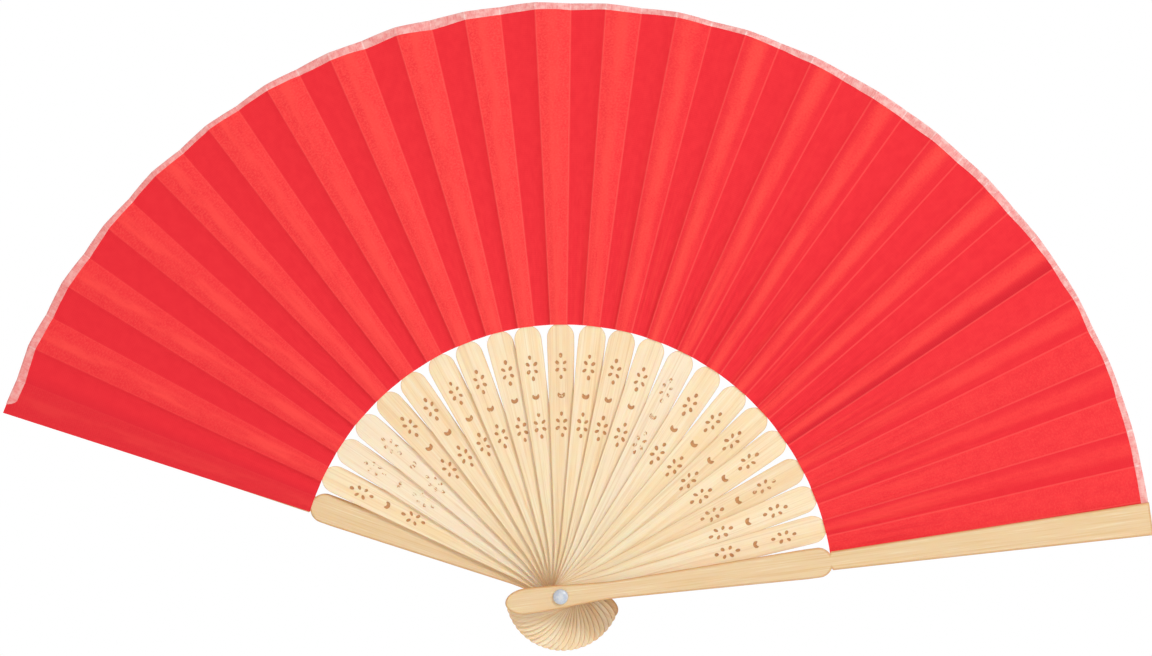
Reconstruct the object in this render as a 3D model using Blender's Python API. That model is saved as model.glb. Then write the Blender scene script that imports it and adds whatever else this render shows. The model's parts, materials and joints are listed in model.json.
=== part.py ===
"""Folding hand fan: stamped bamboo ribs between two guards, all on one rivet, carrying a pleated cloth leaf.

Metres, +Z up. The open fan stands upright and faces -Y, and +X is to its right seen from the front.
The origin is on the rivet's axis, halfway through the stack of sticks. Sticks are numbered from the rear
guard, 0, at the left and the back, to the front guard, 22, at the right and the front. Each stick is
modelled pointing up +Z from the rivet, then turned about the rivet to its place in the open fan.
"""

import math

import bmesh
import bpy

# Layout of the open fan
RIB_COUNT = 21
FRONT_GUARD = RIB_COUNT + 1
MIDDLE = FRONT_GUARD // 2
PITCH = math.radians(6.95)

# Stack along the rivet, from back (+Y) to front (-Y)
LEVEL = 0.00095
RIB_THICK = 0.00065
SLIP_THICK = 0.00035
CLOTH_THICK = 0.0002
CLOTH_TO_SLIP = 0.000175
GUARD_THICK = 0.0024

# Stick outline, measured from the rivet along the stick
BUTT = 0.0181
RIB_BUTT_ROUND = 0.009
GUARD_BUTT_ROUND = 0.0055
WAIST = 0.018
FULL_WIDTH = 0.080
SHOULDER = 0.084
SHOULDER_LENGTH = 0.0046
SLIP_START = 0.0884
RIB_TIP = 0.186
GUARD_TIP = 0.1918
BUTT_HALF = 0.0042
WAIST_HALF = 0.0028
RIB_HALF = 0.0044
GUARD_HALF = 0.0048
SLIP_HALF = (0.0015, 0.0012)
GUARD_SLIP_HALF = (0.0030, 0.0053)
GUARD_EDGE = 0.00025

# Pattern stamped into the front of a rib
MARK_DEPTH = 0.0002
FLOWERS_AT = (0.0556, 0.0746)
CRESCENT_AT = 0.0652
PETAL_REACH = (0.0035, 0.0017)
PETAL_SPREAD = math.radians(45)
PETAL_LENGTH = 0.0014
PETAL_WIDTH = 0.00095
CRESCENT_HALF = 0.0011

# Rivet
PIN_RADIUS = 0.00125
HOLE_RADIUS = 0.00145
HEAD_RADIUS = 0.00245
HEAD_HEIGHT = 0.0012
HEAD_GAP = 0.0002
SOCKET_RADIUS = 0.0014
SOCKET_DEPTH = 0.0006
PIN_END_GAP = 0.0002

# Leaf; its outer radius is given at the rear guard and at the front guard
LEAF_INNER = 0.088
LEAF_OUTER = (0.194, 0.1918)
GLUED_HALF = PITCH / 4
LAST_PANEL_RIGHT = math.radians(1.1)

BAMBOO = ("bamboo", (0.90, 0.74, 0.50), 0.55)
CLOTH = ("red_cloth", (0.86, 0.03, 0.045), 0.75)
PEARL = ("pearl_plastic", (0.72, 0.77, 0.90), 0.25)


def clear_scene():
    for obj in list(bpy.data.objects):
        bpy.data.objects.remove(obj, do_unlink=True)


def material(name, colour, roughness):
    """The Principled material of this name, made on first use."""
    found = bpy.data.materials.get(name)
    if found is None:
        found = bpy.data.materials.new(name)
        found.use_nodes = True
        shader = found.node_tree.nodes["Principled BSDF"]
        shader.inputs["Base Color"].default_value = (*colour, 1.0)
        shader.inputs["Roughness"].default_value = roughness
        shader.inputs["Metallic"].default_value = 0.0
    return found


def new_object(name, bm, finish):
    bmesh.ops.recalc_face_normals(bm, faces=bm.faces)
    mesh = bpy.data.meshes.new(name)
    bm.to_mesh(mesh)
    bm.free()
    mesh.materials.append(material(*finish))
    obj = bpy.data.objects.new(name, mesh)
    bpy.context.collection.objects.link(obj)
    return obj


def place_on_rivet(obj, stick, level_y):
    """Puts a piece modelled pointing up from the rivet at its stick's angle in the open fan."""
    obj.location = (0.0, level_y, 0.0)
    obj.rotation_euler = (0.0, (stick - MIDDLE) * PITCH, 0.0)


def rib_level(stick):
    """Mid-thickness of a rib's handle."""
    return (MIDDLE - stick) * LEVEL


def stick_outline(butt_round, full_half, slip_half, tip):
    """(distance from the rivet, half width) from the butt's end to the tip; the first has no width.

    The round shoulder runs on to the leaf's inner edge, and steps down to the slip just behind the leaf.
    """
    outline = [(-BUTT, 0.0)]
    for step in (1, 2, 3, 4):
        turn = math.pi / 2 * step / 4
        along = -BUTT + butt_round * (1 - math.cos(turn))
        outline.append((along, BUTT_HALF * math.sin(turn)))
    round_end = -BUTT + butt_round
    for step in (1, 2, 3):
        share = step / 3
        ease = share * share * (3 - 2 * share)
        along = round_end + (WAIST - round_end) * share
        outline.append((along, BUTT_HALF + (WAIST_HALF - BUTT_HALF) * ease))
    outline.append((FULL_WIDTH, full_half))
    outline.append((SHOULDER, full_half))
    last_turn = math.asin((LEAF_INNER - SHOULDER) / SHOULDER_LENGTH)
    for step in (1, 2, 3, 4):
        turn = last_turn * step / 4
        along = SHOULDER + SHOULDER_LENGTH * math.sin(turn)
        outline.append((along, full_half * math.cos(turn)))
    outline.append((SLIP_START, slip_half[0]))
    outline.append((tip, slip_half[1]))
    return outline


def ring_points(radius, count):
    return [
        (radius * math.cos(math.tau * i / count), radius * math.sin(math.tau * i / count))
        for i in range(count)
    ]


def petal(centre, turn, reach):
    """A drop with its point towards the flower's centre. turn is measured from the stick's own direction."""
    length, width = PETAL_LENGTH, PETAL_WIDTH
    drop = [(-0.5, 0.0), (0.05, -0.5), (0.5, -0.22), (0.5, 0.22), (0.05, 0.5)]
    points = []
    for along, across in drop:
        out = reach + along * length
        side = across * width
        x = out * math.sin(turn) + side * math.cos(turn)
        z = centre + out * math.cos(turn) - side * math.sin(turn)
        points.append((x, z))
    return points


def flower(centre):
    """Two petals along the stick and two to each side."""
    end_reach, side_reach = PETAL_REACH
    petals = [petal(centre, 0.0, end_reach), petal(centre, math.pi, end_reach)]
    for turn in (PETAL_SPREAD, math.pi - PETAL_SPREAD):
        petals.append(petal(centre, turn, side_reach))
        petals.append(petal(centre, -turn, side_reach))
    return petals


def crescent():
    """A half round with a notch in its outer side."""
    half = CRESCENT_HALF
    shape = [(-1, 0.45), (-0.75, -0.4), (0, -0.75), (0.75, -0.4), (1, 0.45), (0, -0.1)]
    return [(x * half, CRESCENT_AT + z * half) for x, z in shape]


def pivot_hole():
    return ring_points(HOLE_RADIUS, 12)


def joined(bm, loop):
    """The edges round a closed loop of points."""
    return [bm.edges.new((loop[i - 1], loop[i])) for i in range(len(loop))]


def wall(bm, one, two):
    """A band of quads between two closed loops."""
    for i in range(len(one)):
        bm.faces.new((one[i - 1], one[i], two[i], two[i - 1]))


def broad_face(bm, outline, holes, face_y):
    """One broad side of a stick. face_y(distance from the rivet) is its height. Returns its closed loops, rim first.

    The handle, up to the shoulder, is one region with holes. The shoulder and the slip are a strip of quads.
    """
    right = [bm.verts.new((half, 0.0, along)) for along, half in outline]
    left = [right[0]] + [bm.verts.new((-half, 0.0, along)) for along, half in outline[1:]]
    start = next(i for i, (along, _) in enumerate(outline) if along >= SHOULDER)
    loops = [[bm.verts.new((x, 0.0, z)) for x, z in points] for points in holes]
    edges = joined(bm, right[: start + 1] + left[start:0:-1])
    for loop in loops:
        edges += joined(bm, loop)
    bmesh.ops.triangle_fill(bm, use_beauty=True, use_dissolve=False, edges=edges)
    for i in range(start, len(outline) - 1):
        bm.faces.new((right[i], right[i + 1], left[i + 1], left[i]))
    for vert in right + left[1:] + [v for loop in loops for v in loop]:
        vert.co.y = face_y(vert.co.z)
    return [right + left[:0:-1]] + loops


def stick_mesh(outline, marks, back_y, front_y):
    """A flat stick with its pivot hole, and with blind marks stamped into its front."""
    bm = bmesh.new()
    back_rim, back_hole = broad_face(bm, outline, [pivot_hole()], lambda along: back_y)
    front_rim, front_hole, *pressed = broad_face(bm, outline, [pivot_hole()] + marks, front_y)
    wall(bm, back_rim, front_rim)
    wall(bm, back_hole, front_hole)
    for loop in pressed:
        floor = [bm.verts.new((v.co.x, v.co.y + MARK_DEPTH, v.co.z)) for v in loop]
        wall(bm, loop, floor)
        bm.faces.new(floor)
    return bm


def rib_front(along):
    """The handle keeps its full thickness to the shoulder, then thins down to the slip behind the cloth."""
    thinned = min(max((along - SHOULDER) / (LEAF_INNER - SHOULDER), 0.0), 1.0)
    return -RIB_THICK / 2 + (RIB_THICK - SLIP_THICK) * thinned


def make_ribs():
    outline = stick_outline(RIB_BUTT_ROUND, RIB_HALF, SLIP_HALF, RIB_TIP)
    marks = [crescent()]
    for centre in FLOWERS_AT:
        marks += flower(centre)
    for stick in range(1, FRONT_GUARD):
        bm = stick_mesh(outline, marks, RIB_THICK / 2, rib_front)
        rib = new_object(f"rib_{stick:02d}", bm, BAMBOO)
        place_on_rivet(rib, stick, rib_level(stick))


def cloth_level(stick):
    """Mid-thickness of the cloth on a stick: in front of a rib's slip, or against a guard's inner face."""
    slip_front = RIB_THICK / 2 - SLIP_THICK
    return rib_level(stick) + slip_front - CLOTH_TO_SLIP - CLOTH_THICK / 2


def guard_inner_face(stick):
    """The guards' inner faces: the rear one is behind its cloth and the front one is in front of it."""
    side = 1 if stick == 0 else -1
    return cloth_level(stick) + side * (CLOTH_THICK / 2 + CLOTH_TO_SLIP)


def guard_outer_face(stick):
    side = 1 if stick == 0 else -1
    return guard_inner_face(stick) + side * GUARD_THICK


def make_guard(name, stick):
    outline = stick_outline(GUARD_BUTT_ROUND, GUARD_HALF, GUARD_SLIP_HALF, GUARD_TIP)
    bm = stick_mesh(outline, [], GUARD_THICK / 2, lambda along: -GUARD_THICK / 2)
    guard = new_object(name, bm, BAMBOO)
    edge = guard.modifiers.new("eased_edges", "BEVEL")
    edge.width = GUARD_EDGE
    edge.segments = 1
    edge.limit_method = "ANGLE"
    edge.angle_limit = math.radians(60)
    place_on_rivet(guard, stick, (guard_inner_face(stick) + guard_outer_face(stick)) / 2)


def make_leaf_pleat(stick):
    """The panel glued to a stick, with the free panel that leads to the next stick at its right."""
    outer = LEAF_OUTER[0] + (LEAF_OUTER[1] - LEAF_OUTER[0]) * stick / FRONT_GUARD
    left = -GLUED_HALF
    right = LAST_PANEL_RIGHT if stick == FRONT_GUARD else PITCH - GLUED_HALF
    bm = bmesh.new()
    steps = 3
    rings = []
    for step in range(steps + 1):
        turn = left + (right - left) * step / steps
        column = []
        for radius in (LEAF_INNER, outer):
            column.append(bm.verts.new((radius * math.sin(turn), CLOTH_THICK / 2, radius * math.cos(turn))))
        rings.append(column)
    for one, two in zip(rings, rings[1:]):
        bm.faces.new((one[0], one[1], two[1], two[0]))
    grown = bmesh.ops.extrude_face_region(bm, geom=bm.faces[:])
    for vert in grown["geom"]:
        if isinstance(vert, bmesh.types.BMVert):
            vert.co.y = -CLOTH_THICK / 2
    pleat = new_object(f"leaf_pleat_{stick:02d}", bm, CLOTH)
    place_on_rivet(pleat, stick, cloth_level(stick))


def turned(name, profile, finish, sides=24):
    """A solid turned about the Y axis from (radius, y) points; it starts and ends on the axis."""
    bm = bmesh.new()
    rings = []
    for radius, y in profile:
        if radius == 0:
            rings.append([bm.verts.new((0.0, y, 0.0))])
        else:
            rings.append([bm.verts.new((x, y, z)) for x, z in ring_points(radius, sides)])
    for one, two in zip(rings, rings[1:]):
        for i in range(sides):
            start = one if len(one) == 1 else [one[i - 1], one[i]]
            end = two if len(two) == 1 else [two[i], two[i - 1]]
            bm.faces.new(start + end)
    obj = new_object(name, bm, finish)
    obj.data.shade_smooth()
    obj.data.set_sharp_from_angle(angle=math.radians(50))
    return obj


def dome(base_y, height):
    """(radius, y) points of a rivet head's dome, from its rim to its crown."""
    points = []
    for step in range(5):
        turn = math.pi / 2 * step / 5
        points.append((HEAD_RADIUS * math.cos(turn), base_y + height * math.sin(turn)))
    points.append((0.0, base_y + height))
    return points


def make_rivet():
    front_seat = guard_outer_face(FRONT_GUARD) - HEAD_GAP
    rear_seat = guard_outer_face(0) + HEAD_GAP
    pin_end = rear_seat + SOCKET_DEPTH - PIN_END_GAP
    pin = [(0.0, pin_end), (PIN_RADIUS, pin_end), (PIN_RADIUS, front_seat)]
    turned("rivet_pin", pin + dome(front_seat, -HEAD_HEIGHT), PEARL)
    socket = [(0.0, rear_seat + SOCKET_DEPTH), (SOCKET_RADIUS, rear_seat + SOCKET_DEPTH)]
    socket.append((SOCKET_RADIUS, rear_seat))
    turned("rivet_cap", socket + dome(rear_seat, HEAD_HEIGHT), PEARL)


def main():
    clear_scene()
    make_guard("rear_guard", 0)
    make_ribs()
    make_guard("front_guard", FRONT_GUARD)
    make_rivet()
    for stick in range(FRONT_GUARD + 1):
        make_leaf_pleat(stick)


main()
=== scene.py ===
"""Looks of the folding hand fan: bamboo sticks on one rivet, and a pleated red cloth leaf with a pale tape.

Metres, +Z up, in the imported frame: the open fan stands upright and faces -Y, with the rivet's axis at the
origin. Sticks are numbered from the rear guard, 0, at the left and the back, to the front guard, 22, at the
right and the front. Angles grow clockwise, seen from the front, from the middle rib, which points up.
"""

import json
import math
import random
from functools import reduce

import bmesh
import bpy
from mathutils import Matrix, Vector, noise
from mathutils.geometry import tessellate_polygon


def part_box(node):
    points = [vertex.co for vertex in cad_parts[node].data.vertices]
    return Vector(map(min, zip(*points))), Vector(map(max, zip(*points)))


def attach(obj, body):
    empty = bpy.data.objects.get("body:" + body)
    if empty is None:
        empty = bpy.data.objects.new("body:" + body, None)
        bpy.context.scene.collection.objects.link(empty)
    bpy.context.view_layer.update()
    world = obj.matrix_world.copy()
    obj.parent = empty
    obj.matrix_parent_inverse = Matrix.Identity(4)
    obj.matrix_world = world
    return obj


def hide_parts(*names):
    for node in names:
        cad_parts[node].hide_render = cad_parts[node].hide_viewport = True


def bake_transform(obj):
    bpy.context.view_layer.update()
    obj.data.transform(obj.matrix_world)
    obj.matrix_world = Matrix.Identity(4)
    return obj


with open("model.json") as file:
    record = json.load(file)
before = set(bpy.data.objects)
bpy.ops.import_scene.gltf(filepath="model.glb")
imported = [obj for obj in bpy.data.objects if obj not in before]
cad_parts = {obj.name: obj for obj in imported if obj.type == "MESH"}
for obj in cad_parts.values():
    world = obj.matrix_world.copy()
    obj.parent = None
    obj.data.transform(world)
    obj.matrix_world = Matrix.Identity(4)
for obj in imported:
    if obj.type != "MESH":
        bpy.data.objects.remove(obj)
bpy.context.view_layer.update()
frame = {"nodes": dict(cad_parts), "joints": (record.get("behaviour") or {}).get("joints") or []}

MM = 0.001

# The row of sticks, and the angle between one stick and the next on the open fan
STICKS = ["rear_guard"] + sorted(name for name in frame["nodes"] if name.startswith("rib_")) + ["front_guard"]
FRONT_GUARD = len(STICKS) - 1
MIDDLE = FRONT_GUARD // 2
PITCH = math.radians(frame["joints"][0]["range_deg"][1])
QUARTER = PITCH / 4

# Stick outline, measured from the rivet along the stick, as in the CAD but for the guards' rounder butts
BUTT = 18.1 * MM
RIB_BUTT_ROUND = 9.0 * MM
GUARD_BUTT_ROUND = 7.0 * MM
WAIST = 18 * MM
FULL_WIDTH = 80 * MM
SHOULDER = 84 * MM
SHOULDER_LENGTH = 4.6 * MM
SLIP_START = 88.4 * MM
RIB_TIP = 186 * MM
GUARD_TIP = 191.8 * MM
BUTT_HALF = 4.2 * MM
WAIST_HALF = 2.8 * MM
RIB_HALF = 4.4 * MM
GUARD_HALF = 4.8 * MM
RIB_SLIP_HALF = (1.5 * MM, 1.2 * MM)
GUARD_SLIP_HALF = (3.0 * MM, 5.3 * MM)
RIB_SLIP_THICK = 0.35 * MM

# Rounded edges of the sticks and their pivot holes, and the darker band just inside them: partly the cut
# edge's own tone, partly painted shade of the crevices between sticks
RIB_EDGE = 0.09 * MM
GUARD_EDGE = 0.5 * MM
HOLE_EDGE = 0.08 * MM
EDGE_SHADE_BAND = 0.22 * MM
HOLE_RADIUS = 1.45 * MM
HOLE_SIDES = 32

# Pattern stamped and burnt into the front of a rib; the brown in its shallow recesses is partly scorch and
# partly painted shade
FLOWERS_AT = (55.6 * MM, 74.6 * MM)
CRESCENT_AT = 65.2 * MM
PETAL_REACH = (3.5 * MM, 1.7 * MM)
PETAL_SPREAD = math.radians(45)
PETAL_LENGTH = 1.45 * MM
PETAL_WIDTH = 1.12 * MM
CRESCENT_HALF = 1.15 * MM
CRESCENT_HORN = ((0.99, 0.34), (0.86, 0.62), (0.62, 0.56), (0.4, 0.3))
MARK_DEPTH = 0.2 * MM
LIP_INSET = 0.04 * MM
LIP_DEPTH = 0.05 * MM
FLOOR_INSET = 0.09 * MM
HALO = 0.1 * MM

# Differences between the sticks: paler ribs with the share of their marks that the stamp missed, and handles
# that stand off their even places, in degrees clockwise
PALE_RIBS = {2: 0.54, 3: 0.52, 14: 0.49}
LEAN = {6: 0.5, 7: 0.3, 8: 0.7, 10: 0.4, 11: 0.5, 12: 0.15, 16: 0.25, 18: -0.4, 20: -0.3, 21: -0.4}
GUARD_TINT = -0.9
GRAIN_SHIFT = 0.031

# Rivet
PIN_RADIUS = 1.25 * MM
PIN_CHAMFER = 0.1 * MM
HEAD_HEIGHT = 1.2 * MM
HEAD_ROLL = 0.12 * MM
ROLL_SHARE = 0.22
SOCKET_RADIUS = 1.4 * MM
SOCKET_DEPTH = 0.6 * MM

# Leaf
CLOTH_THICK = 0.12 * MM
LAST_PANEL_RIGHT = math.radians(1.1)
GUARD_LIFT = 0.13 * MM
LIFT = (0.15 * MM, 0.8 * MM)
SLIP_CLEARANCE = 0.2 * MM
BEND_POWER = 6
LEAF_ROWS = 64
GLUED_COLUMNS = 8
FREE_COLUMNS = 18
STRIP_COLUMNS = 5

# Leaf's cut edges: how far they stand inside the CAD's, and how they vary along the leaf
RIM_MARGIN = 0.25 * MM
INNER_MARGIN = 0.05 * MM
LEFT_LONGER = 1.45 * MM
RIGHT_SHORTER = 1.1 * MM
ZIGZAG = (0.34 * MM, 0.06 * MM)

# Tape folded over the rim
TAPE_START = math.radians(-0.8)
TAPE_ROUND_END = math.radians(0.5)
TAPE_WIDTH = 2.3 * MM
TAPE_SLOW_WAVE = 0.62 * MM
TAPE_NARROWEST = 0.8 * MM
TAPE_PAST_RIM = 0.15 * MM
TAPE_FOLD = 0.12 * MM
TAPE_HALF_THICK = 0.14 * MM
TAPE_STEPS = 4

# Materials: the arc between two sticks that the leaf's patterns are scaled to, and a fold's place in it
PITCH_ARC = 16.9 * MM
FOLD_AT = 0.25

# Camera, lights and floor
VIEW_YAW = math.radians(3.6)
VIEW_DISTANCE = 2.0
VIEW_TARGET = Vector((-4.0 * MM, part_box("front_guard")[0].y, 86.9 * MM))
VIEW_UP = Vector((-0.103, 0.0, 0.995))
VIEW_WIDTH = 372.2 * MM
SENSOR = 36.0
FAN_MIDDLE = Vector((0.0, 0.0, 90 * MM))
FLOOR_RADIUS = 3.8
FLOOR_LEVEL = -0.30


def leaf_radii():
    """The leaf's inner and outer radius, from the middle CAD panel."""
    mesh = frame["nodes"][f"leaf_pleat_{MIDDLE:02d}"].data
    radii = [math.hypot(v.co.x, v.co.z) for v in mesh.vertices]
    return min(radii), max(radii)


def mid_level(node):
    """Halfway through a node's thickness."""
    low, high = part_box(node)
    return (low.y + high.y) / 2


LEAF_INNER, LEAF_OUTER = leaf_radii()
CLOTH_LEVELS = [mid_level(f"leaf_pleat_{stick:02d}") for stick in range(FRONT_GUARD + 1)]


def stick_angle(stick):
    return (stick - MIDDLE) * PITCH


def lerp(a, b, share):
    return a + (b - a) * share


def clamp(value, low=0.0, high=1.0):
    return min(max(value, low), high)


def smooth(share):
    """share held to 0..1, with a soft start and end."""
    share = clamp(share)
    return share * share * (3 - 2 * share)


def steps_to_one(count):
    return [step / count for step in range(1, count + 1)]


# ---------------------------------------------------------------- mesh helpers


def new_object(name, verts, faces, material, sharp_degrees=40):
    mesh = bpy.data.meshes.new(name)
    mesh.from_pydata(verts, [], faces)
    mesh.materials.append(material)
    mesh.polygons.foreach_set("use_smooth", [True] * len(mesh.polygons))
    mesh.set_sharp_from_angle(angle=math.radians(sharp_degrees))
    mesh.update()
    obj = bpy.data.objects.new(name, mesh)
    bpy.context.scene.collection.objects.link(obj)
    return obj


def outward(obj):
    """Turns every face of a closed mesh outwards."""
    bm = bmesh.new()
    bm.from_mesh(obj.data)
    bmesh.ops.recalc_face_normals(bm, faces=bm.faces)
    bm.to_mesh(obj.data)
    bm.free()


def sharpen(obj, pairs):
    """Marks the edges between these pairs of vertices as creases in the shading."""
    wanted = {tuple(sorted(pair)) for pair in pairs}
    for edge in obj.data.edges:
        if tuple(sorted(edge.vertices)) in wanted:
            edge.use_edge_sharp = True


def add_uv(obj, name, coordinates):
    """A UV map from one (u, v) pair for each vertex."""
    layer = obj.data.uv_layers.new(name=name)
    flat = []
    for loop in obj.data.loops:
        flat.extend(coordinates[loop.vertex_index])
    layer.data.foreach_set("uv", flat)


def add_value(obj, name, values):
    """A number for each vertex, which a material reads by name."""
    attribute = obj.data.attributes.new(name, "FLOAT", "POINT")
    attribute.data.foreach_set("value", values)


def ring_points(radius, count):
    turns = [math.tau * i / count for i in range(count)]
    return [(radius * math.cos(turn), radius * math.sin(turn)) for turn in turns]


def anticlockwise(points):
    area = sum(points[i - 1][0] * z - x * points[i - 1][1] for i, (x, z) in enumerate(points))
    return points if area > 0 else points[::-1]


def inset(points, distance):
    """A closed outline, anticlockwise, moved inwards by this distance."""
    moved = []
    count = len(points)
    for i, (x, z) in enumerate(points):
        before, after = Vector(points[i - 1]), Vector(points[(i + 1) % count])
        here = Vector((x, z))
        one, two = (here - before).normalized(), (after - here).normalized()
        normal = Vector((-one.y - two.y, one.x + two.x))
        if normal.length < 1e-9:
            normal = Vector((-one.y, one.x))
        normal.normalize()
        stretch = max(normal.dot(Vector((-one.y, one.x))), 0.5)
        moved.append((x + normal.x * distance / stretch, z + normal.y * distance / stretch))
    return moved


# ---------------------------------------------------------------- material helpers


class Nodes:
    """Adds and joins shader nodes of one material."""

    def __init__(self, name):
        self.material = bpy.data.materials.new(name)
        self.material.use_nodes = True
        self.tree = self.material.node_tree
        self.shader = self.tree.nodes["Principled BSDF"]

    def put(self, socket, value):
        """Links a node's output to a socket, or sets the socket to a plain value."""
        if isinstance(value, bpy.types.NodeSocket):
            self.tree.links.new(value, socket)
        else:
            socket.default_value = value

    def surface(self, values):
        for name, value in values.items():
            self.put(self.shader.inputs[name], value)

    def node(self, kind, values, **settings):
        made = self.tree.nodes.new(kind)
        for key, value in settings.items():
            setattr(made, key, value)
        for key, value in values.items():
            self.put(made.inputs[key], value)
        return made

    def math(self, operation, one, two=0.0):
        return self.node("ShaderNodeMath", {0: one, 1: two}, operation=operation).outputs[0]

    def multiply(self, one, two):
        return self.math("MULTIPLY", one, two)

    def uv(self, name):
        return self.node("ShaderNodeUVMap", {}, uv_map=name).outputs["UV"]

    def value(self, name):
        return self.node("ShaderNodeAttribute", {}, attribute_name=name).outputs["Fac"]

    def object_place(self):
        return self.node("ShaderNodeTexCoord", {}).outputs["Object"]

    def split(self, vector):
        made = self.node("ShaderNodeSeparateXYZ", {0: vector})
        return made.outputs["X"], made.outputs["Y"]

    def scaled(self, vector, x, y):
        values = {0: vector, 1: (x, y, 1.0)}
        return self.node("ShaderNodeVectorMath", values, operation="MULTIPLY").outputs[0]

    def length(self, vector):
        return self.node("ShaderNodeVectorMath", {0: vector}, operation="LENGTH").outputs["Value"]

    def noise(self, vector, scale, detail, roughness):
        values = {"Vector": vector, "Scale": scale, "Detail": detail, "Roughness": roughness}
        return self.node("ShaderNodeTexNoise", values).outputs["Fac"]

    def threads(self, vector, direction, scale, distortion, detail=2.0):
        values = {"Vector": vector, "Scale": scale, "Distortion": distortion, "Detail": detail}
        return self.node("ShaderNodeTexWave", values, bands_direction=direction).outputs["Fac"]

    def ramp(self, value, low, high, start=0.0, end=1.0):
        """value taken from low..high to start..end, with a soft start and end."""
        values = {"Value": value, "From Min": low, "From Max": high, "To Min": start, "To Max": end}
        return self.node("ShaderNodeMapRange", values, interpolation_type="SMOOTHSTEP").outputs[0]

    def mix(self, share, one, two):
        """A colour between two, from one at a share of 0 to two at 1."""
        factor, colour_a, colour_b, colour_out = 0, 6, 7, 2
        values = {factor: share, colour_a: one, colour_b: two}
        return self.node("ShaderNodeMix", values, data_type="RGBA").outputs[colour_out]

    def layer(self, under, paint, *shares):
        """A colour with paint over it, as strong as the product of the shares."""
        return self.mix(reduce(self.multiply, shares), under, paint)

    def bump(self, height, strength, distance):
        values = {"Height": height, "Strength": strength, "Distance": distance}
        return self.node("ShaderNodeBump", values).outputs["Normal"]


def rgb(red, green, blue):
    return (red, green, blue, 1.0)


# ---------------------------------------------------------------- materials

# Bamboo
STRAW = rgb(0.915, 0.700, 0.430)
LIGHT_STRAW = rgb(0.945, 0.785, 0.560)
CREAM = rgb(0.955, 0.800, 0.580)
PALE_BAMBOO = rgb(0.930, 0.800, 0.640)
DEEP_BAMBOO = rgb(0.770, 0.530, 0.290)
BROWN_FIBRE = rgb(0.640, 0.350, 0.120)
WHITE_FIBRE = rgb(1.0, 0.940, 0.800)
# Darker orange of the edges: partly the cut edge's tone, partly painted shade between the sticks
CUT_EDGE_AND_SHADE = rgb(0.600, 0.235, 0.045)
# Brown of the marks: partly scorch, partly painted shade in their recesses
SCORCH_AND_SHADE = rgb(0.520, 0.235, 0.085)
LIGHT_SCORCH_AND_SHADE = rgb(0.640, 0.320, 0.135)

# Cloth
RED = rgb(0.860, 0.0200, 0.0340)
MOTTLED_RED = rgb(0.895, 0.0260, 0.0390)
# Glued panels: lighter partly from the glue, partly painted light
GLUED_AND_LIT_RED = rgb(0.910, 0.0330, 0.0410)
GLUED_AND_LIT_MOTTLED_RED = rgb(0.960, 0.0480, 0.0490)
# Painted sheen speckles
PAINTED_SHEEN_POINT = rgb(0.990, 0.1000, 0.0820)
# Painted shade for the leaf's left end
LEFT_END_SHADE_RED = rgb(0.760, 0.0130, 0.0280)
# Painted shade beside the slips
SHADE_BESIDE_SLIP_RED = rgb(0.770, 0.0120, 0.0270)
SLIP_RED = rgb(0.985, 0.0700, 0.0600)
# Painted highlight along the ridge over each slip
STRETCH_HIGHLIGHT_RED = rgb(0.988, 0.0760, 0.0580)
# Painted light and shade of the gathers
GATHER_HIGHLIGHT_RED = rgb(0.985, 0.0700, 0.0540)
GATHER_SHADE_RED = rgb(0.760, 0.0120, 0.0270)
# Painted shadow of one fold at stick 18
FOLD_SHADOW_RED = rgb(0.600, 0.0080, 0.0200)
# Lighter fold lines: partly wear, partly painted highlight
FOLD_WEAR_AND_HIGHLIGHT_RED = rgb(0.985, 0.115, 0.100)
# Painted shade for the leaf's first strip
FIRST_STRIP_SHADE_RED = rgb(0.700, 0.0110, 0.0260)
THREAD_RED = rgb(0.980, 0.075, 0.070)

# Tape
TAPE_PINK = rgb(0.850, 0.255, 0.255)
TAPE_LIGHT_PINK = rgb(0.930, 0.430, 0.405)
TAPE_CLOUD = rgb(0.965, 0.620, 0.590)
# Lighter tape at the folds: partly wear, partly painted highlight
TAPE_FOLD_WEAR_AND_HIGHLIGHT = rgb(0.980, 0.800, 0.780)
# Painted shade for the tape's left end
TAPE_LEFT_SHADE_RED = rgb(0.830, 0.170, 0.170)

# Rivet and floor
PEARL_BLUE = rgb(0.490, 0.540, 0.660)
PEARL = rgb(0.650, 0.660, 0.700)
FLOOR_GREY = rgb(0.84, 0.84, 0.84)
FLOOR_WHITE = rgb(0.87, 0.87, 0.865)
FLOOR_GLOW = rgb(0.88, 0.94, 1.0)


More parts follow.
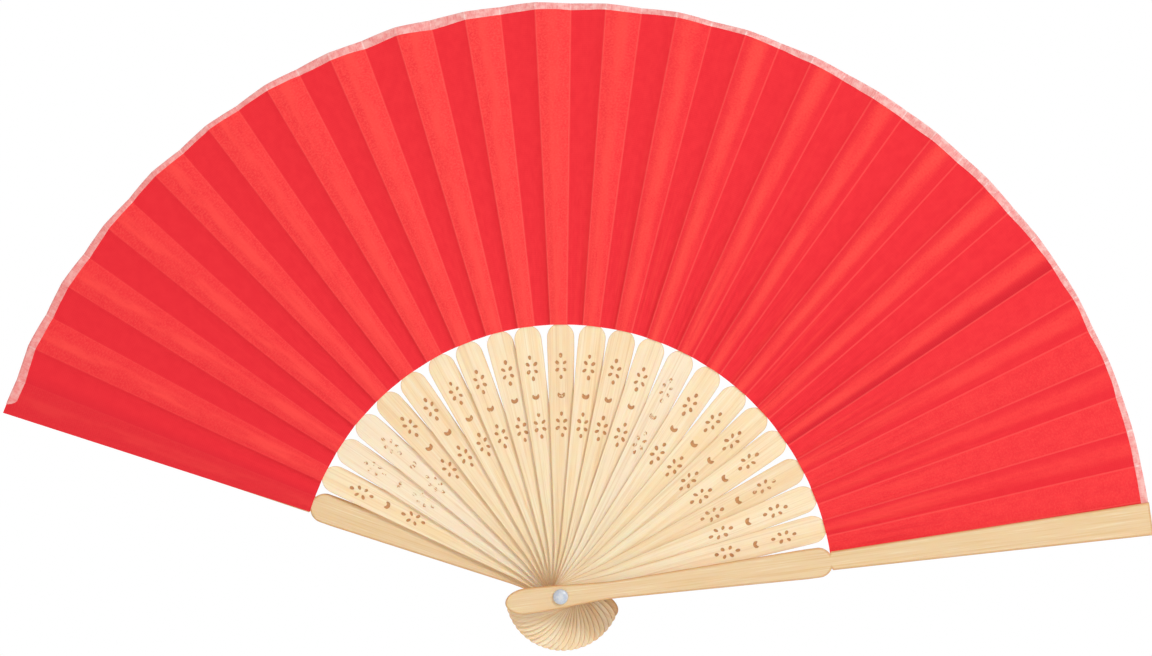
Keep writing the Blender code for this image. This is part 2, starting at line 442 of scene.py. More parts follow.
def bamboo_material():
    """Split bamboo: fine fibres along the stick, broad pale and warm streaks, a darker edge band that is
    partly cut-edge tone and partly painted crevice shade, and burnt stamped marks whose brown is partly
    scorch and partly painted shade.
    """
    n = Nodes("bamboo_fibres")
    grain = n.uv("grain")
    tint = n.value("tint")
    fibres = n.noise(n.scaled(grain, 1.0, 0.02), scale=2300.0, detail=4.0, roughness=0.62)
    veins = n.noise(n.scaled(grain, 1.0, 0.009), scale=1250.0, detail=3.0, roughness=0.55)
    streaks = n.noise(n.scaled(grain, 1.0, 0.03), scale=520.0, detail=2.0, roughness=0.5)
    clouds = n.noise(n.scaled(grain, 1.0, 0.25), scale=170.0, detail=2.0, roughness=0.5)
    colour = n.mix(n.ramp(streaks, 0.35, 0.65), STRAW, LIGHT_STRAW)
    colour = n.layer(colour, CREAM, n.ramp(clouds, 0.35, 0.75, end=0.4))
    colour = n.layer(colour, PALE_BAMBOO, n.ramp(tint, 0.0, 1.0, end=0.6))
    colour = n.layer(colour, DEEP_BAMBOO, n.ramp(tint, 0.0, -1.0, end=0.72))
    darker = n.mix(0.5, colour, BROWN_FIBRE)
    paler = n.mix(0.5, colour, WHITE_FIBRE)
    colour = n.layer(colour, darker, n.ramp(veins, 0.52, 0.66, end=0.45))
    colour = n.layer(colour, darker, n.ramp(fibres, 0.53, 0.70, end=0.5))
    colour = n.layer(colour, paler, n.ramp(fibres, 0.47, 0.32, end=0.55))
    # Painted shade along every edge, partly the cut edge's own tone
    colour = n.layer(colour, CUT_EDGE_AND_SHADE, n.value("cut_tone_and_shade"), 0.7)
    patches = n.noise(n.scaled(grain, 1.0, 0.45), scale=1900.0, detail=2.0, roughness=0.6)
    printed = n.ramp(n.math("SUBTRACT", patches, n.value("missed")), -0.04, 0.04)
    # Painted shade in the marks' recesses, partly real scorch
    scorch_and_shade = n.mix(n.ramp(fibres, 0.3, 0.7), SCORCH_AND_SHADE, LIGHT_SCORCH_AND_SHADE)
    colour = n.layer(colour, scorch_and_shade, n.value("burn_and_shade"), printed)
    n.surface({
        "Base Color": colour,
        "Roughness": n.ramp(fibres, 0.2, 0.8, 0.45, 0.62),
        "Specular IOR Level": 0.3,
        "Subsurface Weight": 0.4,
        "Subsurface Radius": (1.0, 0.42, 0.16),
        "Subsurface Scale": 0.8 * MM,
        "Normal": n.bump(fibres, strength=0.3, distance=0.08 * MM),
    })
    return n.material


def panel_masks(n, across, radius):
    """1 on glued panels and 0 on free ones, 1 over a slip, 1 round it with soft sides, and 1 on a fold."""
    centred = n.math("SUBTRACT", n.math("FRACT", n.math("ADD", across, 0.5)), 0.5)
    share = n.math("ABSOLUTE", centred)
    glued = n.ramp(share, FOLD_AT + 0.003, FOLD_AT - 0.003)
    width = n.multiply(radius, PITCH)
    slip = n.ramp(n.multiply(share, width), 2.6 * MM, 0.8 * MM)
    ridge_centre = -0.03
    ridge = n.ramp(n.math("ABSOLUTE", n.math("SUBTRACT", centred, ridge_centre)), 0.19, 0.03)
    from_fold = n.multiply(n.math("ABSOLUTE", n.math("SUBTRACT", share, FOLD_AT)), width)
    return glued, slip, ridge, n.ramp(from_fold, 0.36 * MM, 0.12 * MM)


def cloth_material():
    """Thin plain-woven red cloth.

    On the left the glued panels are lighter, partly from the glue and partly painted light, with painted
    sheen speckles. On the right the cloth has painted bright bands over the slips, as if stretched, and
    painted light and shade of gathers near its inner edge, where a bump gathers it too. The darker left end
    and first strip, the shade beside the slips and a fold shadow at stick 18 are painted shade, and the fold
    lines are lighter partly from wear and partly as painted highlight.
    """
    n = Nodes("red_weave")
    leaf = n.uv("leaf")
    across, radius = n.split(leaf)
    metres = n.scaled(leaf, PITCH_ARC, 1.0)

    def by_stick(first, last, start=0.0, end=1.0):
        """start up to the first place, in sticks from the rear guard, and end from the last place on."""
        return n.ramp(across, first, last, start, end)

    glued, slip, ridge, fold = panel_masks(n, across, radius)
    free = n.math("SUBTRACT", 1.0, glued)
    # Where the painted shade beside the ridge over each slip goes
    shade_beside_ridge = n.math("SUBTRACT", 1.0, ridge)
    mottle = n.ramp(n.noise(n.scaled(metres, 1.0, 0.55), scale=420.0, detail=4.0, roughness=0.6), 0.3, 0.7)
    glue = n.noise(n.scaled(metres, 1.0, 0.2), scale=260.0, detail=3.0, roughness=0.55)
    grain = n.noise(metres, scale=1700.0, detail=3.0, roughness=0.65)
    # Painted light on the glued panels, partly their glue tone, with painted sheen speckles
    light = n.mix(mottle, GLUED_AND_LIT_RED, GLUED_AND_LIT_MOTTLED_RED)
    light = n.layer(light, PAINTED_SHEEN_POINT, n.ramp(grain, 0.42, 0.66, end=0.55))

    colour = n.mix(mottle, RED, MOTTLED_RED)
    # Painted light on the glued panels, strongest on the left
    colour = n.layer(colour, light, glued, by_stick(9.0, 15.0, 1.0, 0.2))
    # Painted light on the free panels at the far right
    colour = n.layer(colour, light, free, by_stick(17.8, 19.6, end=0.5))
    # Painted shade: the leaf darker towards its left end
    colour = n.layer(colour, LEFT_END_SHADE_RED, by_stick(9.0, -1.0, end=0.45))
    # Painted shade on the glued panels beside the ridge over the slip
    colour = n.layer(colour, SHADE_BESIDE_SLIP_RED, glued, shade_beside_ridge, by_stick(10.0, 14.0, end=0.45))
    glued_well = n.ramp(glue, 0.38, 0.62, 0.1, 0.7)
    colour = n.layer(colour, SLIP_RED, slip, glued_well, by_stick(8.0, 13.0, 1.0, 0.3))

    # Painted highlight over the slips, strongest from the middle to the right
    highlight_over_slips = n.multiply(by_stick(9.0, 13.0, end=0.8), by_stick(16.5, 21.0, 1.0, 0.3))
    uneven = n.multiply(n.ramp(glue, 0.3, 0.62, 0.45), n.ramp(grain, 0.36, 0.6, 0.4))
    colour = n.layer(colour, STRETCH_HIGHLIGHT_RED, ridge, highlight_over_slips, uneven)

    gathers = n.noise(n.scaled(leaf, 7.0, 22.0), scale=1.0, detail=3.0, roughness=0.55)
    gathered = n.multiply(by_stick(9.0, 15.0, 0.2), n.ramp(radius, 165 * MM, 95 * MM, 0.2))
    # Painted highlight and shade of the gathers near the inner edge; the bump gathers the cloth too
    colour = n.layer(colour, GATHER_HIGHLIGHT_RED, gathered, n.ramp(gathers, 0.52, 0.68, end=0.35))
    colour = n.layer(colour, GATHER_SHADE_RED, gathered, n.ramp(gathers, 0.48, 0.34, end=0.4))

    # Painted fold shadow on the glued panel at stick 18
    shadow_at_stick_18 = n.multiply(by_stick(18.02, 18.24, end=0.7), by_stick(18.4, 18.35))
    colour = n.layer(colour, FOLD_SHADOW_RED, glued, shadow_at_stick_18)
    # Fold lines lighter: partly wear, partly painted highlight
    colour = n.layer(colour, FOLD_WEAR_AND_HIGHLIGHT_RED, fold, by_stick(3.0, 9.0, 0.1, 0.4))
    # Painted shade: the first strip darker
    colour = n.layer(colour, FIRST_STRIP_SHADE_RED, by_stick(0.5, 0.2, end=0.6))

    threads_along = n.threads(metres, "Y", scale=480.0, distortion=1.2, detail=1.0)
    threads_across = n.threads(metres, "X", scale=620.0, distortion=1.0)
    weave = n.math("ADD", n.multiply(threads_along, 0.6), n.multiply(threads_across, 0.4))
    colour = n.layer(colour, THREAD_RED, n.ramp(weave, 0.2, 0.9, end=0.08))

    height = n.math("ADD", n.multiply(weave, 0.04), n.multiply(ridge, 0.9))
    height = n.math("ADD", height, n.multiply(gathers, n.multiply(gathered, 2.2)))
    n.surface({
        "Base Color": colour,
        "Roughness": 0.72,
        "Specular IOR Level": 0.2,
        "Sheen Weight": 0.06,
        "Sheen Roughness": 0.4,
        "Sheen Tint": rgb(1.0, 0.45, 0.4),
        "Normal": n.bump(height, strength=0.5, distance=0.5 * MM),
    })
    return n.material


def tape_material():
    """Thin pinkish-white non-woven tape with fine fibres across it, and the red cloth showing through. Its
    folds are lighter, partly wear and partly painted highlight, and its left end is darker with painted
    shade.
    """
    n = Nodes("edge_tape_fibres")
    leaf = n.uv("leaf")
    across, radius = n.split(leaf)
    metres = n.scaled(leaf, PITCH_ARC, 1.0)
    fold = panel_masks(n, across, radius)[-1]
    fibres = n.noise(n.scaled(metres, 1.0, 0.12), scale=3800.0, detail=3.0, roughness=0.65)
    clouds = n.noise(metres, scale=500.0, detail=3.0, roughness=0.6)
    colour = n.mix(n.ramp(fibres, 0.3, 0.7), TAPE_PINK, TAPE_LIGHT_PINK)
    colour = n.layer(colour, TAPE_CLOUD, n.ramp(clouds, 0.42, 0.66, end=0.65))
    # Tape lighter at the folds: partly wear, partly painted highlight
    colour = n.layer(colour, TAPE_FOLD_WEAR_AND_HIGHLIGHT, fold, n.ramp(clouds, 0.38, 0.6, 0.1, 0.6))
    # Painted shade: the tape darker and redder towards its left end
    colour = n.layer(colour, TAPE_LEFT_SHADE_RED, n.ramp(across, 11.0, 3.0, end=0.3))
    n.surface({
        "Base Color": colour,
        "Roughness": 0.85,
        "Specular IOR Level": 0.2,
        "Normal": n.bump(fibres, strength=0.4, distance=0.06 * MM),
    })
    return n.material


def pearl_material():
    """Pearly bluish-white plastic with faint swirls."""
    n = Nodes("pearl_swirls")
    swirls = n.noise(n.object_place(), scale=900.0, detail=3.0, roughness=0.55)
    n.surface({
        "Base Color": n.mix(n.ramp(swirls, 0.35, 0.65), PEARL_BLUE, PEARL),
        "Roughness": n.ramp(swirls, 0.3, 0.7, 0.3, 0.42),
        "Coat Weight": 0.25,
        "Coat Roughness": 0.2,
        "Normal": n.bump(swirls, strength=0.08, distance=0.1 * MM),
    })
    return n.material


def floor_material():
    """Matt off-white that glows faintly, more so far out, where the lights don't reach."""
    n = Nodes("pale_floor")
    place = n.object_place()
    clouds = n.noise(place, scale=1.5, detail=2.0, roughness=0.5)
    n.surface({
        "Base Color": n.mix(clouds, FLOOR_GREY, FLOOR_WHITE),
        "Roughness": 0.8,
        "Emission Color": FLOOR_GLOW,
        "Emission Strength": n.ramp(n.length(place), 0.8, 3.2, 0.15, 0.4),
    })
    return n.material


# ---------------------------------------------------------------- sticks


def stick_outline(butt_round, full_half, slip_half, tip):
    """(distance from the rivet, half width) from the butt's end, on the stick's middle line, to the tip."""
    outline = [(-BUTT, 0.0)]
    for share in steps_to_one(14):
        turn = math.pi / 2 * share
        outline.append((-BUTT + butt_round * (1 - math.cos(turn)), BUTT_HALF * math.sin(turn)))
    for share in steps_to_one(12):
        neck_half = lerp(BUTT_HALF, WAIST_HALF, smooth(share))
        outline.append((lerp(-BUTT + butt_round, WAIST, share), neck_half))
    for share in steps_to_one(10):
        outline.append((lerp(WAIST, FULL_WIDTH, share), lerp(WAIST_HALF, full_half, share)))
    outline.append((SHOULDER, full_half))
    last_turn = math.asin((LEAF_INNER - SHOULDER) / SHOULDER_LENGTH)
    for share in steps_to_one(12):
        turn = last_turn * share
        outline.append((SHOULDER + SHOULDER_LENGTH * math.sin(turn), full_half * math.cos(turn)))
    for share in [0.0] + steps_to_one(12):
        outline.append((lerp(SLIP_START, tip, share), lerp(slip_half[0], slip_half[1], share)))
    return outline


def petal(centre, turn, reach, rng):
    """A petal's outline: a drop whose point is towards the flower's centre, at a turn from the stick."""
    length = PETAL_LENGTH * rng.uniform(0.88, 1.08)
    width = PETAL_WIDTH * rng.uniform(0.85, 1.1)
    reach += rng.uniform(-0.07, 0.07) * MM
    turn += rng.uniform(-0.08, 0.08)
    points = []
    for along, across in ring_points(0.5, 14):
        out = reach + along * length
        side = across * (0.88 + 0.24 * along) * width
        x = out * math.sin(turn) + side * math.cos(turn)
        z = centre + out * math.cos(turn) - side * math.sin(turn)
        points.append((x, z))
    return points


def crescent(rng):
    """A full half round with a shallow notch in its outer side, between two short horns."""
    half = CRESCENT_HALF * rng.uniform(0.94, 1.05)
    at = CRESCENT_AT + rng.uniform(-0.1, 0.1) * MM
    notch = rng.uniform(0.02, 0.14)
    points = []
    for share in [0.0] + steps_to_one(14):
        turn = -math.pi * share
        points.append((half * math.cos(turn), at + 0.82 * half * math.sin(turn)))
    points += [(-half * x, at + half * z) for x, z in CRESCENT_HORN]
    points.append((0.0, at + half * notch))
    points += [(half * x, at + half * z) for x, z in CRESCENT_HORN[::-1]]
    return points


def rib_marks(rng):
    """The outlines of one crescent and two flowers of six petals."""
    marks = [crescent(rng)]
    end_reach, side_reach = PETAL_REACH
    for centre in FLOWERS_AT:
        marks.append(petal(centre, 0.0, end_reach, rng))
        marks.append(petal(centre, math.pi, end_reach, rng))
        for turn in (PETAL_SPREAD, math.pi - PETAL_SPREAD):
            marks.append(petal(centre, turn, side_reach, rng))
            marks.append(petal(centre, -turn, side_reach, rng))
    return marks


class Stick:
    """The mesh of one flat stick with rounded edges, a pivot hole and blind stamped marks.

    back_y is the level of its back, and front_y(distance from the rivet) that of its front.
    """

    def __init__(self, outline, back_y, front_y):
        self.outline = outline
        self.back_y = back_y
        self.front_y = front_y
        self.verts = []
        self.faces = []
        self.burn_and_shade = []
        self.cut_tone_and_shade = []

    def loop(self, points, height, burn_and_shade=0.0, cut_tone_and_shade=0.0):
        """New vertices at these (x, z) points. height(z) is their y. Returns their numbers."""
        first = len(self.verts)
        for x, z in points:
            self.verts.append((x, height(z), z))
            self.burn_and_shade.append(burn_and_shade)
            self.cut_tone_and_shade.append(cut_tone_and_shade)
        return list(range(first, len(self.verts)))

    def band(self, one, two):
        for i in range(len(one)):
            self.faces.append((one[i - 1], one[i], two[i], two[i - 1]))

    def place(self, i):
        """A vertex in the stick's own plane."""
        x, _, z = self.verts[i]
        return Vector((x, z, 0.0))

    def fill_flat(self, loops):
        """Triangles inside the first loop of vertices and outside the others."""
        flat = [i for loop in loops for i in loop]
        for triangle in tessellate_polygon([[self.place(i) for i in loop] for loop in loops]):
            self.faces.append(tuple(flat[i] for i in triangle))

    def edge_rings(self, points, edge):
        """Rings round the outline or a hole, from the front face over both rounded edges to the back face."""
        rings = []
        for side, face in ((1, self.front_y), (-1, lambda z: self.back_y)):
            around = [self.loop(inset(points, edge + EDGE_SHADE_BAND), face)]
            for share in [0.0] + steps_to_one(3):
                turn = math.pi / 2 * share
                depth = side * edge * (1 - math.cos(turn))
                moved = inset(points, edge * (1 - math.sin(turn)))
                # The rounded edges get the darker band: partly cut-edge tone, partly painted shade
                around.append(self.loop(moved, lambda z: face(z) + depth, cut_tone_and_shade=lerp(0.4, 1.0, share)))
            rings += around if side == 1 else around[::-1]
        for one, two in zip(rings, rings[1:]):
            self.band(one, two)
        return rings[0], rings[-1]

    def fill_face(self, rim, holes):
        """A broad face: the handle with its holes as one flat region, then quads from shoulder to tip."""
        half = len(self.outline)
        count = len(rim)
        start = next(i for i, (along, _) in enumerate(self.outline) if along >= SHOULDER)
        handle = rim[: start + 1] + rim[count - start :]
        self.fill_flat([handle] + holes)
        for i in range(start, half - 1):
            self.faces.append((rim[i], rim[i + 1], rim[count - i - 1], rim[(count - i) % count]))

    def stamp(self, points):
        """A blind mark, its lip and floor painted brown: partly scorch, partly painted shade. Returns its
        outermost ring, where its scorched halo ends.
        """
        face = self.front_y
        halo = self.loop(inset(points, -HALO), face)
        # Rim, lip and floor painted brown: partly scorch, partly painted shade
        rim = self.loop(points, face, burn_and_shade=0.85)
        lip = self.loop(inset(points, LIP_INSET), lambda z: face(z) + LIP_DEPTH, burn_and_shade=1.0)
        floor = self.loop(inset(points, FLOOR_INSET), lambda z: face(z) + MARK_DEPTH, burn_and_shade=1.0)
        for one, two in zip((halo, rim, lip), (rim, lip, floor)):
            self.band(one, two)
        self.fill_flat([floor])
        return halo

    def build(self, name, edge, marks, material):
        right = [(half, along) for along, half in self.outline]
        left = [(-half, along) for along, half in self.outline[:0:-1]]
        front_rim, back_rim = self.edge_rings(right + left, edge)
        pivot = ring_points(HOLE_RADIUS, HOLE_SIDES)[::-1]
        front_hole, back_hole = self.edge_rings(pivot, HOLE_EDGE)
        pressed = [self.stamp(anticlockwise(points)) for points in marks]
        self.fill_face(front_rim, [front_hole] + pressed)
        self.fill_face(back_rim, [back_hole])
        obj = new_object(name, self.verts, self.faces, material, sharp_degrees=32)
        outward(obj)
        add_value(obj, "burn_and_shade", self.burn_and_shade)
        add_value(obj, "cut_tone_and_shade", self.cut_tone_and_shade)
        return obj


def dress(obj, stick, tint, missed):
    """The material's coordinates and numbers for one stick, then its place on the rivet."""
    shift = GRAIN_SHIFT * stick
    add_uv(obj, "grain", [(v.co.x + shift, v.co.z + shift) for v in obj.data.vertices])
    count = len(obj.data.vertices)
    add_value(obj, "tint", [tint] * count)
    add_value(obj, "missed", [missed] * count)
    node = STICKS[stick]
    turn = stick_angle(stick) + math.radians(LEAN.get(stick, 0.0))
    obj.matrix_world = Matrix.Translation((0, mid_level(node), 0)) @ Matrix.Rotation(turn, 4, "Y")
    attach(obj, node)
    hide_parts(node)


def lean_handle(obj, lean):
    """Lets the handle stand at an angle: the slip bends back to the middle of its panel at the tip."""
    for vertex in obj.data.vertices:
        beyond = clamp((vertex.co.z - LEAF_INNER) / (RIB_TIP - LEAF_INNER))
        vertex.co.x -= math.tan(lean) * RIB_TIP * beyond


def thickness(node):
    low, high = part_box(node)
    return high.y - low.y


def make_rib(stick, material):
    """A rib, thick up to its shoulder, where its front falls back to the thin slip behind the cloth."""
    rng = random.Random(100 + stick)
    thick = thickness(STICKS[stick])

    def front_y(along):
        thinned = clamp((along - SHOULDER) / (LEAF_INNER - SHOULDER))
        return -thick / 2 + (thick - RIB_SLIP_THICK) * thinned

    outline = stick_outline(RIB_BUTT_ROUND, RIB_HALF, RIB_SLIP_HALF, RIB_TIP)
    built = Stick(outline, thick / 2, front_y)
    obj = built.build(f"stamped_rib_{stick:02d}", RIB_EDGE, rib_marks(rng), material)
    lean_handle(obj, math.radians(LEAN.get(stick, 0.0)))
    tint = 1.0 if stick in PALE_RIBS else rng.uniform(-0.4, 0.4)
    missed = PALE_RIBS.get(stick, rng.uniform(0.2, 0.38))
    dress(obj, stick, tint, missed)


def make_guard(stick, name, material):
    thick = thickness(STICKS[stick])
    outline = stick_outline(GUARD_BUTT_ROUND, GUARD_HALF, GUARD_SLIP_HALF, GUARD_TIP)
    built = Stick(outline, thick / 2, lambda along: -thick / 2)
    obj = built.build(name, GUARD_EDGE, [], material)
    dress(obj, stick, GUARD_TINT, missed=0.0)


# ---------------------------------------------------------------- rivet


def turned(name, profile, material, sides=56):
    """A solid turned about the Y axis from (radius, y) points; it starts and ends on the axis."""
    verts, rings, faces = [], [], []
    for radius, y in profile:
        first = len(verts)
        around = ring_points(radius, sides) if radius > 0 else [(0.0, 0.0)]
        verts += [(x, y, z) for x, z in around]
        rings.append(list(range(first, len(verts))))
    for one, two in zip(rings, rings[1:]):
        for i in range(sides):
            start = one if len(one) == 1 else [one[i - 1], one[i]]
            end = two if len(two) == 1 else [two[i], two[i - 1]]
            faces.append(start + end)
    obj = new_object(name, verts, faces, material, sharp_degrees=45)
    outward(obj)
    return obj


def head_profile(seat, crown, radius):
    """A low dome with a small rolled rim, from its seat to its crown."""
    height = crown - seat
    points = [(radius - HEAD_ROLL, seat)]
    for share in steps_to_one(5):
        turn = math.pi / 2 * share
        rolled = radius - HEAD_ROLL * (1 - math.sin(turn))
        points.append((rolled, seat + ROLL_SHARE * height * (1 - math.cos(turn))))
    for share in steps_to_one(12)[:-1]:
        turn = math.pi / 2 * share
        points.append((radius * math.cos(turn), seat + height * lerp(ROLL_SHARE, 1.0, math.sin(turn))))
    points.append((0.0, crown))
    return points


def make_rivet(material):
    """The pin with its head at the front, and the cap with a blind socket for the pin's end at the back."""
    low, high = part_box("rivet_pin")
    cap_low, cap_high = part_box("rivet_cap")
    radius = high.x
    seat = low.y + HEAD_HEIGHT
    chamfer = [(PIN_RADIUS - PIN_CHAMFER, high.y), (PIN_RADIUS, high.y - PIN_CHAMFER)]
    shank = [(0.0, high.y)] + chamfer + [(PIN_RADIUS, seat)]
    socket_end = cap_low.y + SOCKET_DEPTH
    socket = [(0.0, socket_end), (SOCKET_RADIUS, socket_end), (SOCKET_RADIUS, cap_low.y)]
    pin_profile = shank + head_profile(seat, low.y, radius)
    cap_profile = socket + head_profile(cap_low.y, cap_high.y, radius)
    for name, node, profile in (
        ("rivet_with_front_head", "rivet_pin", pin_profile),
        ("rivet_rear_cap", "rivet_cap", cap_profile),
    ):
        obj = turned(name, profile, material)
        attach(obj, STICKS[MIDDLE])
        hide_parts(node)


# ---------------------------------------------------------------- leaf


def place_along(stick, turn):
    """Where a direction lies along the leaf, in sticks from the rear guard."""
    return stick + turn / PITCH


def edge_wave(angle, seed, size, rate):
    return size * noise.noise(Vector((angle * rate, seed, 0.37)))


def outer_radius(stick, turn):
    """The cut outer edge: longer at the left, and a zigzag that peaks at each glued panel's left fold."""
    angle = stick_angle(stick) + turn
    place = place_along(stick, turn)
    reach = LEFT_LONGER * smooth((6 - place) / 6) - RIGHT_SHORTER * smooth((place - 18) / 4.5)
    share = turn % PITCH / QUARTER
    zigzag = 1 - abs(share - 3) if share > 1 else -share
    peak = lerp(*ZIGZAG, place / FRONT_GUARD)
    wave = edge_wave(angle, seed=3.1, size=0.35 * MM, rate=9.0)
    return LEAF_OUTER - RIM_MARGIN + reach + peak * zigzag + wave


def inner_radius(stick, turn):
    angle = stick_angle(stick) + turn
    return LEAF_INNER + INNER_MARGIN + edge_wave(angle, seed=8.7, size=0.12 * MM, rate=14.0)


def panel_lift(radius):
    """How far a glued panel's folds stand before and behind its middle."""
    share = clamp((radius - LEAF_INNER) / (LEAF_OUTER - LEAF_INNER))
    return lerp(*LIFT, share**0.6)


def slip_half_angle(radius):
    share = clamp((radius - SLIP_START) / (RIB_TIP - SLIP_START))
    return lerp(*RIB_SLIP_HALF, share) / radius


def glued_height(turn, lift):
    """Height of a glued panel at an angle from its stick: it turns back towards its right fold."""
    share = turn / QUARTER
    if share > 0:
        return lift * (0.3 * share + 0.7 * share**2)
    return -lift * (-0.3 * share + 0.65 * share**2 + 0.6 * share**3)


def cloth_height(stick, turn, radius):
    """Depth of the cloth behind the stick's own cloth level, at an angle clockwise from the stick."""
    free_lift = panel_lift(radius)
    right_lift = min(free_lift, GUARD_LIFT) if stick == 0 else free_lift
    left_lift = min(free_lift, GUARD_LIFT) if stick + 1 == FRONT_GUARD else free_lift
    step = CLOTH_LEVELS[stick] - CLOTH_LEVELS[stick + 1]
    if turn <= QUARTER:
        return glued_height(turn, right_lift if turn > 0 else free_lift)
    if turn >= 3 * QUARTER:
        beyond = turn - PITCH
        return -step + glued_height(beyond, left_lift if beyond < 0 else free_lift)
    # Closed, the free panel has to stay behind the next slip, so it rises in full only past that slip.
    across = follow_next(turn)
    past_slip = (QUARTER + slip_half_angle(radius)) / (2 * QUARTER)
    total = step + right_lift - glued_height(-QUARTER, left_lift)
    by_then = right_lift + SLIP_CLEARANCE
    late = (total * past_slip - by_then) / (past_slip - past_slip**BEND_POWER)
    even = total - late
    return right_lift - even * across - late * across**BEND_POWER


def relief(stick, turn, radius):
    """Slight unevenness of the cloth: small dents on slow waves."""
    arc_radius = 140 * MM
    along = (stick_angle(stick) + turn) * arc_radius
    fine = noise.noise(Vector((along * 110, radius * 60, 4.2)))
    slow = noise.noise(Vector((along * 45, radius * 22, 9.1)))
    return 0.035 * MM * fine + 0.05 * MM * slow


def leaf_columns(stick):
    """(angles from the stick, numbers of the columns on a fold) of one leaf piece."""
    turns = []
    if stick == 0:
        turns += [-QUARTER + QUARTER * i / GLUED_COLUMNS for i in range(GLUED_COLUMNS)]
    turns += [QUARTER * i / GLUED_COLUMNS for i in range(GLUED_COLUMNS)]
    first_fold = len(turns)
    turns += [QUARTER + 2 * QUARTER * i / FREE_COLUMNS for i in range(FREE_COLUMNS)]
    second_fold = len(turns)
    turns += [3 * QUARTER + QUARTER * i / GLUED_COLUMNS for i in range(GLUED_COLUMNS + 1)]
    if stick + 1 == FRONT_GUARD:
        turns += [PITCH + LAST_PANEL_RIGHT * share for share in steps_to_one(STRIP_COLUMNS)]
    return turns, (first_fold, second_fold)


def follow_next(turn):
    """0 for cloth glued to the stick, 1 for cloth glued to the next one, and evenly between them."""
    return clamp((turn - QUARTER) / (2 * QUARTER))


def cloth_point(stick, turn, radius, proud):
    """A point of the leaf, this far behind the middle of the cloth's thickness."""
    y = CLOTH_LEVELS[stick] + cloth_height(stick, turn, radius) + relief(stick, turn, radius) + proud
    angle = stick_angle(stick) + turn
    return (radius * math.sin(angle), y, radius * math.cos(angle))


def bend_between(obj):
    """Bakes the piece's placement into its mesh."""
    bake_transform(obj)


def make_leaf_piece(stick, material):
    """The cloth from the middle of one glued panel to the middle of the next, as a thin closed sheet."""
    turns, folds = leaf_columns(stick)
    columns, rows = len(turns), LEAF_ROWS + 1
    verts, uvs, weights = [], [], []
    for side in (-1, 1):
        for turn in turns:
            low, high = inner_radius(stick, turn), outer_radius(stick, turn)
            for row in range(rows):
                radius = lerp(low, high, row / LEAF_ROWS)
                verts.append(cloth_point(stick, turn, radius, side * CLOTH_THICK / 2))
                uvs.append((place_along(stick, turn), radius))
                weights.append(follow_next(turn))
    back = columns * rows
    faces = []
    for i in range(columns - 1):
        for j in range(rows - 1):
            a, b = i * rows + j, (i + 1) * rows + j
            faces.append((a, b, b + 1, a + 1))
            faces.append((back + a, back + a + 1, back + b + 1, back + b))
    rim = [i * rows for i in range(columns)]
    rim += [(columns - 1) * rows + j for j in range(1, rows)]
    rim += [i * rows + rows - 1 for i in range(columns - 2, -1, -1)]
    rim += list(range(rows - 2, 0, -1))
    for i in range(len(rim)):
        a, b = rim[i - 1], rim[i]
        faces.append((a, back + a, back + b, b))
    obj = new_object(f"leaf_cloth_{stick:02d}", verts, faces, material, sharp_degrees=60)
    creases = []
    for base in (layer + fold * rows for fold in folds for layer in (0, back)):
        creases += [(base + j, base + j + 1) for j in range(rows - 1)]
    sharpen(obj, creases)
    add_uv(obj, "leaf", uvs)
    bend_between(obj)
    return obj


def tape_width(stick, turn):
    """The tape covers more and less of the cloth in slow waves, and its left end is rounded."""
    slow = TAPE_SLOW_WAVE * math.cos(math.tau * (place_along(stick, turn) - 0.5) / 7.6)
    uneven = edge_wave(stick_angle(stick) + turn, seed=5.5, size=0.35 * MM, rate=22.0)
    width = max(TAPE_WIDTH + slow + uneven, TAPE_NARROWEST)
    if stick > 0:
        return width
    return width * math.sqrt(clamp((turn - TAPE_START) / TAPE_ROUND_END, low=0.06))


def tape_columns(stick):
    """The leaf piece's columns; on the first piece they start where the tape does."""
    turns, folds = leaf_columns(stick)
    if stick > 0:
        return turns, folds
    clear = TAPE_START + 0.3 * QUARTER / GLUED_COLUMNS
    end = [TAPE_START, TAPE_START + math.radians(0.06)]
    turns = end + [turn for turn in turns if turn > clear]
    return turns, (turns.index(QUARTER), turns.index(3 * QUARTER))


def tape_section(stick, turn):
    """(radius, depth behind the cloth's middle) round the tape: front, fold over the rim, back."""
    high = outer_radius(stick, turn) + TAPE_PAST_RIM
    low = high - tape_width(stick, turn)
    radii = [lerp(low, high - TAPE_FOLD, share) for share in [0.0] + steps_to_one(TAPE_STEPS)]
    front = [(radius, -TAPE_HALF_THICK) for radius in radii]
    back = [(radius, TAPE_HALF_THICK) for radius in radii[::-1]]
    return front + [(high, 0.0)] + back


def make_tape_piece(stick, material):
    """The tape folded over the leaf's rim, along the same stretch as the leaf piece."""
    turns, folds = tape_columns(stick)
    sections = [tape_section(stick, turn) for turn in turns]
    size = len(sections[0])
    verts, uvs, weights = [], [], []
    for turn, section in zip(turns, sections):
        for radius, proud in section:
            verts.append(cloth_point(stick, turn, radius, proud))
            uvs.append((place_along(stick, turn), radius))
            weights.append(follow_next(turn))
    faces = []
    for i in range(len(turns) - 1):
        for j in range(size):
            a, b = i * size + j, i * size + (j + 1) % size
            faces.append((a, b, b + size, a + size))
    last = (len(turns) - 1) * size
    faces.append(tuple(range(size))[::-1])
    faces.append(tuple(last + j for j in range(size)))
    obj = new_object(f"edge_tape_{stick:02d}", verts, faces, material, sharp_degrees=50)
    outward(obj)
    creases = []
    for fold in folds:
        creases += [(fold * size + j, fold * size + (j + 1) % size) for j in range(size)]
    sharpen(obj, creases)
    add_uv(obj, "leaf", uvs)
    bend_between(obj)
    return obj


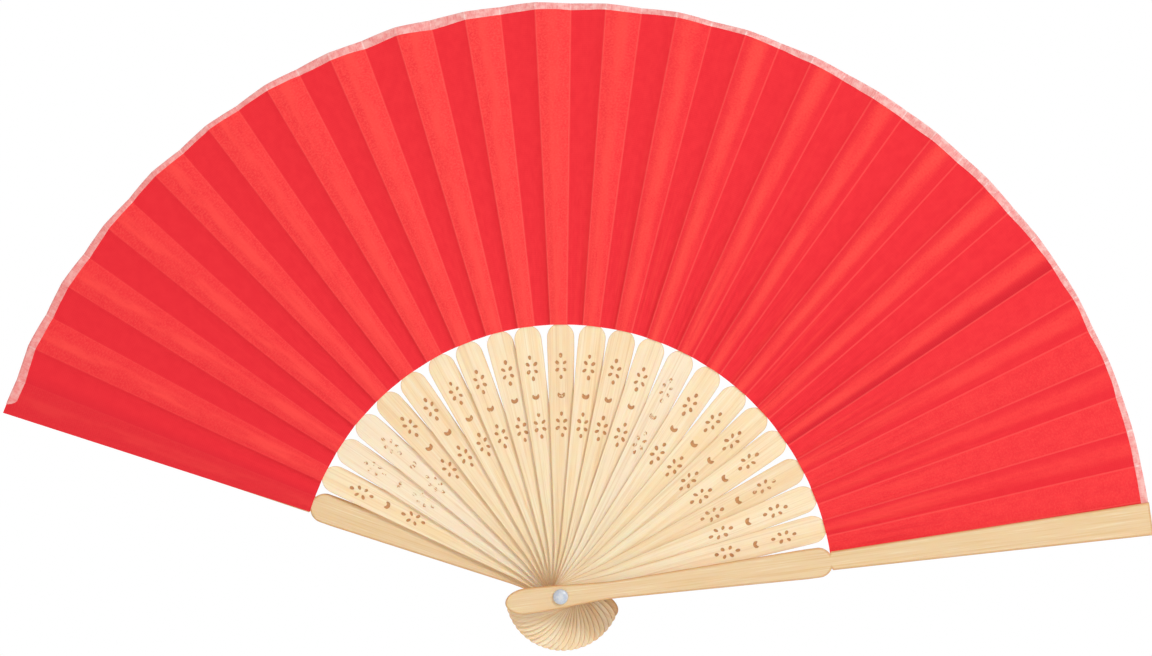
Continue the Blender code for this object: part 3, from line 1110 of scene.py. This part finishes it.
def make_leaf(cloth, tape):
    for stick in range(FRONT_GUARD):
        piece = make_leaf_piece(stick, cloth)
        strip = make_tape_piece(stick, tape)
        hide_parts(f"leaf_pleat_{stick:02d}")
        if stick + 1 == FRONT_GUARD:
            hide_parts(f"leaf_pleat_{FRONT_GUARD:02d}")
        turns, _ = leaf_columns(stick)


# ---------------------------------------------------------------- studio


def make_camera():
    data = bpy.data.cameras.new("studio_camera")
    camera = bpy.data.objects.new("studio_camera", data)
    bpy.context.scene.collection.objects.link(camera)
    place = VIEW_TARGET + VIEW_DISTANCE * Vector((math.sin(VIEW_YAW), -math.cos(VIEW_YAW), 0.0))
    ahead = (VIEW_TARGET - place).normalized()
    right = ahead.cross(VIEW_UP).normalized()
    up = right.cross(ahead)
    turn = Matrix((right, up, -ahead)).transposed()
    camera.matrix_world = Matrix.Translation(place) @ turn.to_4x4()
    data.sensor_width = SENSOR
    data.lens = SENSOR * VIEW_DISTANCE / VIEW_WIDTH
    data.clip_start = 0.05
    data.clip_end = 50.0
    bpy.context.scene.camera = camera


def area_light(name, place, size, watts, colour):
    """A round light aimed at the middle of the fan."""
    data = bpy.data.lights.new(name, "AREA")
    data.shape = "DISK"
    data.size = size
    data.energy = watts
    data.color = colour
    light = bpy.data.objects.new(name, data)
    light.location = place
    aim = FAN_MIDDLE - Vector(place)
    light.rotation_euler = aim.to_track_quat("-Z", "Y").to_euler()
    light.visible_camera = False
    bpy.context.scene.collection.objects.link(light)


def make_world():
    """White where the camera sees it, and a softer warm light on the fan."""
    world = bpy.data.worlds.new("white_room")
    bpy.context.scene.world = world
    world.use_nodes = True
    tree = world.node_tree
    seen = tree.nodes["Background"]
    lighting = tree.nodes.new("ShaderNodeBackground")
    seen.inputs["Color"].default_value = rgb(1.0, 1.0, 1.0)
    seen.inputs["Strength"].default_value = 1.0
    lighting.inputs["Color"].default_value = rgb(1.0, 0.83, 0.64)
    lighting.inputs["Strength"].default_value = 0.33
    path = tree.nodes.new("ShaderNodeLightPath")
    mixed = tree.nodes.new("ShaderNodeMixShader")
    tree.links.new(path.outputs["Is Camera Ray"], mixed.inputs["Fac"])
    tree.links.new(lighting.outputs[0], mixed.inputs[1])
    tree.links.new(seen.outputs[0], mixed.inputs[2])
    tree.links.new(mixed.outputs[0], tree.nodes["World Output"].inputs["Surface"])


def make_floor():
    """A round floor below the fan, small enough to stay out of the front view's background."""
    sides = 96
    verts = [(0.0, 0.0, FLOOR_LEVEL)] + [(x, y, FLOOR_LEVEL) for x, y in ring_points(FLOOR_RADIUS, sides)]
    faces = [(0, i + 1, (i + 1) % sides + 1) for i in range(sides)]
    floor = new_object("floor", verts, faces, floor_material())


def main():
    for name in ("Cube", "Light", "Camera"):
        if name in bpy.data.objects:
            bpy.data.objects.remove(bpy.data.objects[name], do_unlink=True)
    bpy.context.scene.view_settings.view_transform = "Standard"
    make_camera()
    area_light("key", place=(1.15, -1.75, 1.55), size=0.9, watts=39.3, colour=(0.84, 0.95, 1.0))
    area_light("front_fill", place=(-0.3, -2.3, 0.0), size=0.8, watts=8.5, colour=(1.0, 0.97, 0.92))
    area_light("back_fill", place=(-0.9, 2.2, 1.4), size=1.6, watts=22.0, colour=(1.0, 1.0, 1.0))
    make_world()
    make_floor()
    bamboo = bamboo_material()
    make_guard(0, "rear_guard_bamboo", bamboo)
    for stick in range(1, FRONT_GUARD):
        make_rib(stick, bamboo)
    make_guard(FRONT_GUARD, "front_guard_bamboo", bamboo)
    make_rivet(pearl_material())
    make_leaf(cloth_material(), tape_material())


main()
